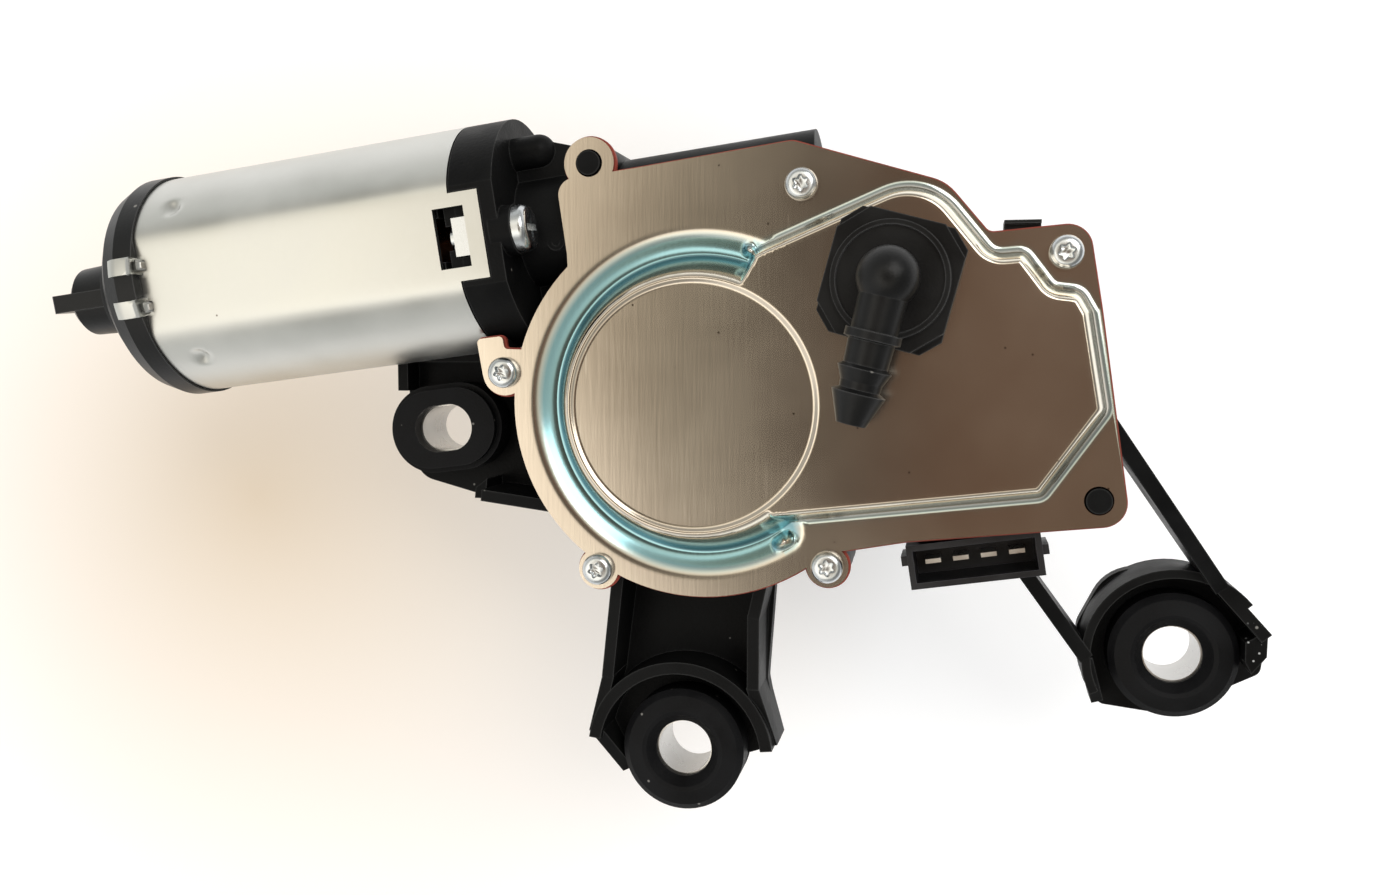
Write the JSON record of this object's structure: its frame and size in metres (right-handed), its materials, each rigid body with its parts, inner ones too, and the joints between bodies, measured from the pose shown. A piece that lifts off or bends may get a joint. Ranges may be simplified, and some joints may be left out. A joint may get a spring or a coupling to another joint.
{
  "type": "rear wiper motor",
  "caption": "Rear wiper motor with worm gearbox, oscillating hollow output spindle, washer inlet elbow, bracket arms on rubber bushes and a blade connector.",
  "frame": {"origin": "on the output spindle's axis, at the foot of the wiper arm's seat where the threaded end begins", "axes": "+Z along the spindle from its threaded end towards the cover, +X away from the motor's closed end, nearly along the motor, +Y completing a right-handed set"},
  "size_m": [0.2431, 0.1345, 0.0981],
  "materials": {
    "zinc_sheet": "bright zinc coating, pressed sheet",
    "yoke_steel": "satin zinc coating, drawn steel",
    "fastener": "bright zinc coating",
    "housing_black": "fine grained moulded black",
    "cap_black": "satin moulded black",
    "bush_rubber": "black rubber",
    "gasket_rubber": "red-brown rubber",
    "steel": "turned or ground steel",
    "contact_metal": "tinned contact metal",
    "bronze": "sintered bronze",
    "copper": "enamelled or bare copper",
    "ferrite": "pressed ferrite",
    "core_steel": "stacked laminations",
    "carbon": "pressed carbon",
    "gear_white": "natural gear plastic",
    "board_green": "coated circuit board",
    "electric_black": "moulded case"
  },
  "bodies": {
    "casing": {"gear_housing": "housing_black", "cover_plate": "zinc_sheet", "cover_gasket": "gasket_rubber", "cover_screws": "fastener", "motor_yoke": "yoke_steel", "yoke_nuts": "fastener", "motor_screws": "fastener", "end_cap": "cap_black", "magnets": "ferrite", "brush_holder": "cap_black", "brushes": "carbon", "brush_springs": "steel", "rear_bush": "bronze", "drive_bush": "bronze", "bush_retainer": "steel", "front_bush": "bronze", "thrust_ball": "steel", "wheel_axle": "steel", "wheel_washer": "steel", "spindle_bushes": "bronze", "spindle_seal": "bush_rubber", "spindle_washer": "steel", "round_grommets": "bush_rubber", "round_sleeves": "steel", "slot_grommet": "bush_rubber", "slot_sleeve": "steel", "connector_body": "electric_black", "terminals": "contact_metal", "circuit_board": "board_green", "relay": "electric_black", "capacitor": "electric_black", "park_contacts": "copper", "nozzle_cap": "cap_black", "washer_elbow": "cap_black", "nozzle_seal": "bush_rubber", "cover_clip": "cap_black"},
    "armature": {"armature_shaft": "steel", "armature_core": "core_steel", "windings": "copper", "commutator": "copper"},
    "wheel": {"worm_wheel": "gear_white", "park_ring": "copper"},
    "spindle": {"output_spindle": "steel", "spindle_pinion": "steel", "retaining_ring": "steel"},
    "link": {"guide_link": "steel", "sector_pin": "steel"},
    "sector": {"sector_rod": "steel", "crank_pin": "steel"}
  },
  "joints": [
    {"name": "armature_spin", "type": "hinge", "parent": "casing", "child": "armature", "pos_m": [-0.0395, 0.0152, 0.0533], "axis": [0.9919, 0.1271, 0], "continuous": true},
    {"name": "wheel_turn", "type": "hinge", "parent": "casing", "child": "wheel", "pos_m": [-0.0348, -0.0215, 0.0533], "axis": [0, 0, 1], "continuous": true},
    {"name": "spindle_swing", "type": "hinge", "parent": "casing", "child": "spindle", "pos_m": [0, 0, 0], "axis": [0, 0, 1], "range_deg": [0, 101.72]},
    {"name": "link_swing", "type": "hinge", "parent": "casing", "child": "link", "pos_m": [0, 0, 0.07], "axis": [0, 0, 1], "range_deg": [0, 33.9]},
    {"name": "rod_pivot", "type": "hinge", "parent": "link", "child": "sector", "pos_m": [-0.00739, -0.02125, 0.068], "axis": [0, 0, 1], "range_deg": [-43.3, 0]}
  ],
  "couplings": [
    {"joint": "wheel_turn", "follows": "armature_spin", "ratio": 0.015873},
    {"joint": "link_swing", "follows": "spindle_swing", "ratio": 0.33282},
    {"joint": "rod_pivot", "follows": "spindle_swing", "ratio": -0.42457}
  ]
}
